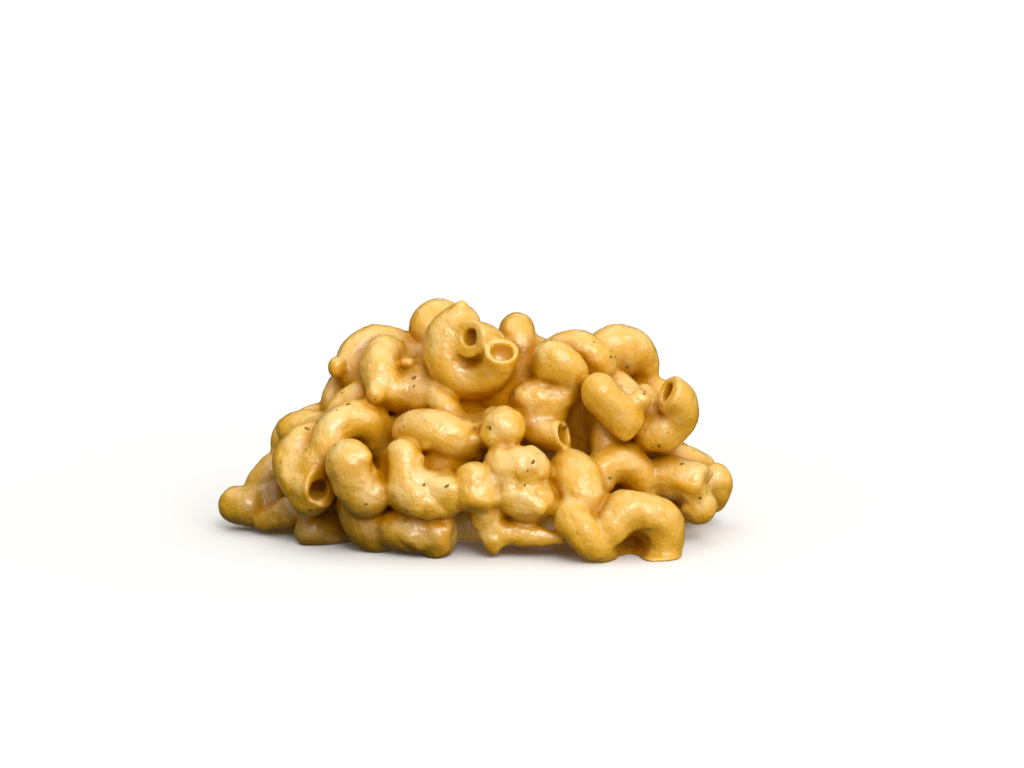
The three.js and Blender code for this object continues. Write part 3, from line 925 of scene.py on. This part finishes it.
class Nodes:
    """The nodes of a material or a world, which are made and joined with few words."""

    def __init__(self, owner, main):
        owner.use_nodes = True
        self.tree = owner.node_tree
        self.main = self.tree.nodes[main]

    def set(self, node, name, value):
        """Sets a socket to a number or colour, or joins another node's socket to it."""
        socket = node.inputs[name]
        if isinstance(value, bpy.types.NodeSocket):
            self.tree.links.new(value, socket)
        elif socket.type == "RGBA":
            socket.default_value = (*value, 1)
        else:
            socket.default_value = value

    def node(self, kind, output=0, options=None, **inputs):
        """Makes a node with its options and sockets set, and gives one of its outputs."""
        node = self.tree.nodes.new(kind)
        for name, value in (options or {}).items():
            setattr(node, name, value)
        for name, value in inputs.items():
            self.set(node, name, value)
        return node.outputs[output]

    def in_order(self, kind, output, options, values):
        """A node with its first sockets set in their order."""
        made = self.node(kind, output, options)
        for index, value in enumerate(values):
            self.set(made.node, index, value)
        return made

    def math(self, operation, *values):
        return self.in_order("ShaderNodeMath", 0, {"operation": operation}, values)

    def vector_math(self, operation, output, *values):
        return self.in_order("ShaderNodeVectorMath", output, {"operation": operation}, values)

    def between(self, value, low, high, low_result=0.0, high_result=1.0):
        """Takes a value from one range to another, with a smooth start and end."""
        smooth = {"interpolation_type": "SMOOTHSTEP"}
        return self.in_order("ShaderNodeMapRange", 0, smooth, (value, low, high, low_result, high_result))

    def mix(self, share, first, second):
        """A mix of two colours. Of the node's sockets, 6 and 7 and output 2 are those for colours."""
        mixed = self.node("ShaderNodeMix", 2, {"data_type": "RGBA"})
        for index, value in ((0, share), (6, first), (7, second)):
            self.set(mixed.node, index, value)
        return mixed

    def attribute(self, name, output="Fac"):
        return self.node("ShaderNodeAttribute", output, {"attribute_name": name})

    def noise(self, period, detail, roughness):
        """Noise between 0 and 1 with a period in millimetres."""
        place = self.node("ShaderNodeTexCoord", "Object")
        return self.node("ShaderNodeTexNoise", Vector=place, Scale=1 / (period * MM), Detail=detail,
                         Roughness=roughness)


def cheese_material():
    """Pasta under a thin amber sauce that turns to cream where it lies thick, with shade painted into its
    colour at the lower left, in creases and in hollows, and its tops painted paler, partly as light.
    """
    material = bpy.data.materials.new("cheese_sauce")
    cheese = Nodes(material, "Principled BSDF")
    near_room = cheese.attribute("near_room")
    crowded = cheese.attribute("crowded")
    dark = cheese.attribute("painted_shade")

    patches = cheese.between(cheese.noise(*PATCHES), *CREAM_IN_PATCHES)
    cream = cheese.math("MULTIPLY_ADD", cheese.attribute("thick_sauce"), CREAM_IN_THICK_SAUCE, patches)
    # Paler on upward faces: partly sauce settling on top, partly painted light.
    cream = cheese.math("ADD", cream, cheese.between(cheese.attribute("upward"), *CREAM_AND_PAINTED_LIGHT_ON_TOP))
    cream = cheese.between(cream, 0.0, 1.0)
    colour = cheese.mix(cream, THIN_SAUCE, THICK_SAUCE)
    # Painted shade at the lower left and in the recesses by the floor.
    colour = cheese.mix(cheese.math("MULTIPLY", dark, PAINTED_SHADE_SHARE), colour, PAINTED_SHADE_COLOUR)
    # Painted shade in creases, where there is little room in front of the surface.
    colour = cheese.mix(cheese.between(near_room, *PAINTED_CREASE_SHADE_SHARE), colour, PAINTED_CREASE_SHADE)
    # Painted shade in crowded hollows.
    colour = cheese.mix(cheese.between(crowded, *PAINTED_HOLLOW_SHADE_SHARE), colour, PAINTED_HOLLOW_SHADE)
    cheese.set(cheese.main, "Base Color", colour)

    on_tube = cheese.attribute("place_on_tube", "Vector")
    stretched = cheese.vector_math("MULTIPLY", "Vector", on_tube, STREAKS)
    streaks = cheese.node("ShaderNodeTexNoise", Vector=stretched, Scale=1.0, Detail=2.0, Roughness=0.5)
    height = cheese.math("MULTIPLY", streaks, cheese.between(cream, *STREAK_HEIGHT))
    dents = cheese.math("MULTIPLY_ADD", cream, DENT_HEIGHT_IN_CREAM, DENT_HEIGHT)
    height = cheese.math("MULTIPLY_ADD", cheese.noise(*DENTS), dents, height)
    height = cheese.math("MULTIPLY_ADD", cheese.noise(*GRAIN), GRAIN_HEIGHT, height)
    bump = cheese.node("ShaderNodeBump", Strength=1.0, Distance=MM, Height=height)

    shine = cheese.between(crowded, *SHINE_IN_HOLLOWS)
    for value, change in ((near_room, SHINE_IN_CREASES), (dark, SHINE_IN_PAINTED_SHADE)):
        shine = cheese.math("MULTIPLY", shine, cheese.between(value, *change))
    settings = {
        "Normal": bump,
        "Roughness": cheese.between(cheese.noise(*UNEVEN_SHINE), *ROUGHNESS),
        "Subsurface Weight": GLOW_THROUGH,
        "Subsurface Radius": GLOW_THROUGH_REACH,
        "Subsurface Scale": GLOW_THROUGH_SCALE * MM,
        "Specular IOR Level": cheese.math("MULTIPLY", shine, GLOSS),
        "Coat Weight": shine,
        "Coat Roughness": COAT_ROUGHNESS,
        "Coat IOR": COAT_IOR,
        "Coat Normal": bump,
    }
    for name, value in settings.items():
        cheese.set(cheese.main, name, value)
    return material


def plain_material(name, colour, roughness, gloss):
    material = bpy.data.materials.new(name)
    plain = Nodes(material, "Principled BSDF")
    plain.set(plain.main, "Base Color", colour)
    plain.set(plain.main, "Roughness", roughness)
    plain.set(plain.main, "Specular IOR Level", gloss)
    return material


make_camera()
make_stage()
make_glow()
make_lamps()
heap = make_heap()
for piece in (heap, *make_flecks(heap)):
    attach(piece, "root")
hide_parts(HEAP_NODE)

bpy.context.scene.view_settings.view_transform = "Standard"
